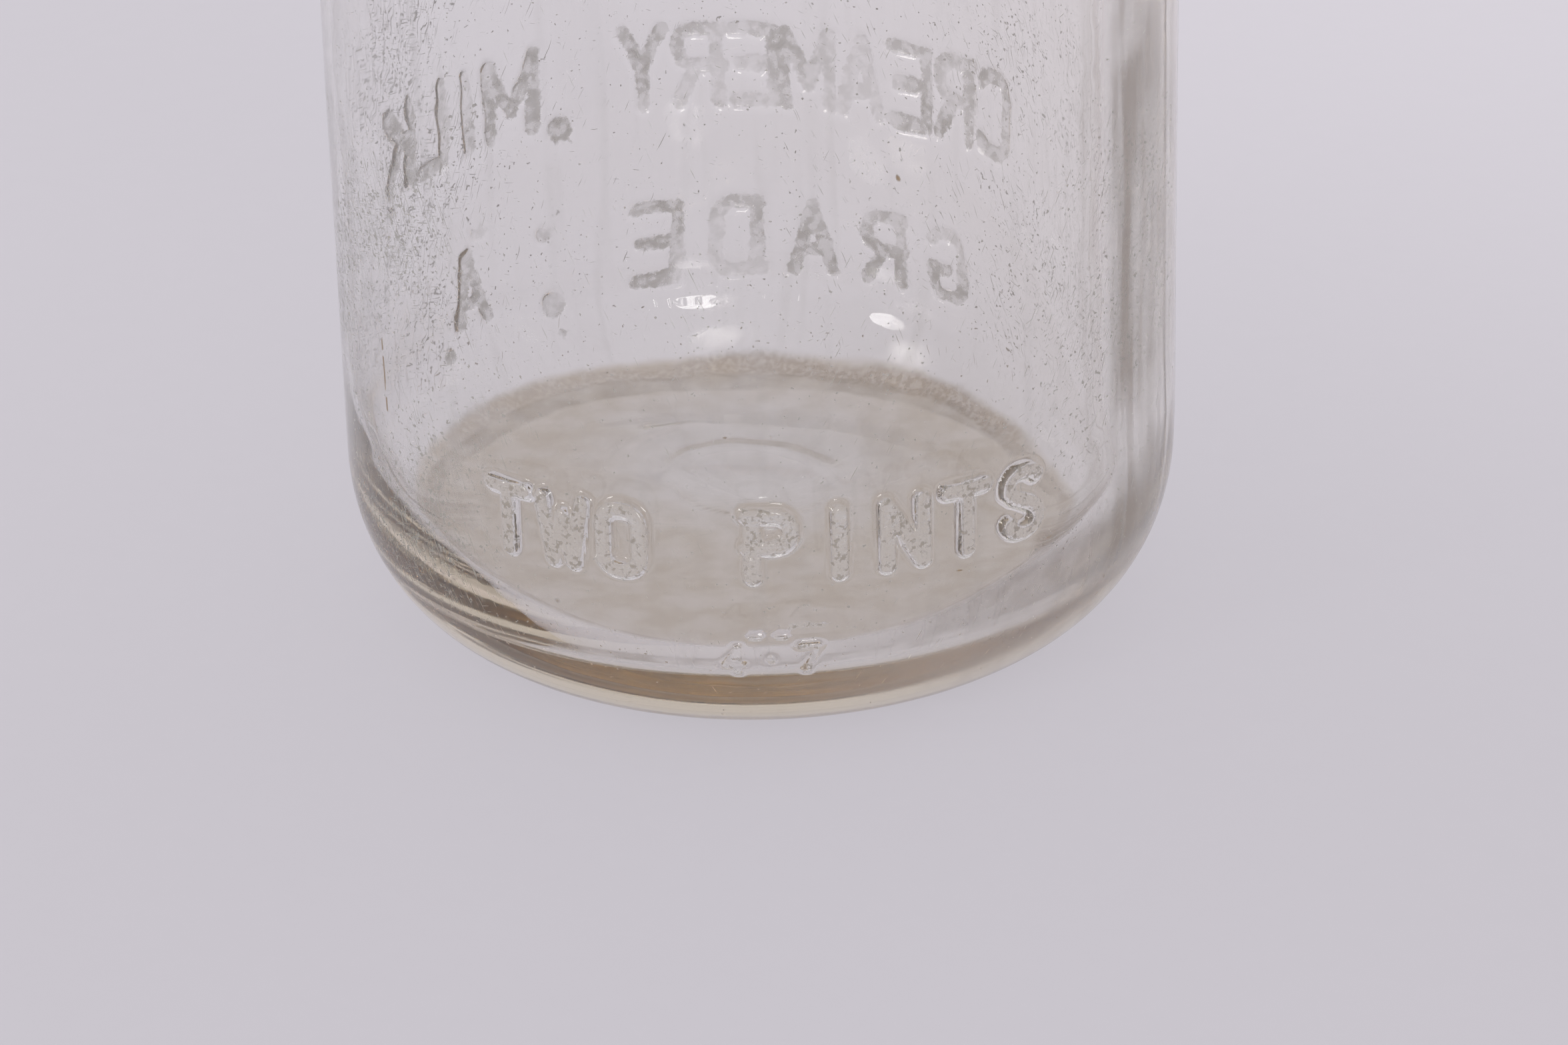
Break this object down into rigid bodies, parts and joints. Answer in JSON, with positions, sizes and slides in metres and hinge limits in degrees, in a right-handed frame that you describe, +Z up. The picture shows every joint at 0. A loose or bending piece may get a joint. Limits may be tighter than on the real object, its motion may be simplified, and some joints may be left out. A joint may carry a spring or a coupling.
{
  "type": "milk bottle",
  "caption": "Round clear glass milk bottle with heavy heel, tapered neck and beaded lip, closed by a waxed board cap with a stapled pull tab.",
  "frame": {"origin": "centre of the base, on the surface that the bottle stands on", "axes": "+Z up along the bottle's axis, towards the mouth; the front, with the raised capacity lettering, faces -Y"},
  "size_m": [0.096, 0.096, 0.2413],
  "materials": {
    "clear_glass": "smooth, with case wear",
    "waxed_board": "waxed, satin",
    "tab_paper": "matt kraft",
    "staple_wire": "drawn wire"
  },
  "bodies": {
    "bottle": {"glass_bottle": "clear_glass"},
    "cap": {"cap_disc": "waxed_board", "pull_tab_foot": "tab_paper", "tab_staple": "staple_wire"},
    "tab": {"pull_tab": "tab_paper"}
  },
  "joints": [
    {"name": "cap_lift", "type": "slide", "parent": "bottle", "child": "cap", "axis": [0, 0, 1], "range_m": [0, 0.06]},
    {"name": "tab_lift", "type": "hinge", "parent": "cap", "child": "tab", "pos_m": [0, -0.0034, 0.2369], "axis": [-1, 0, 0], "range_deg": [0, 100]}
  ]
}
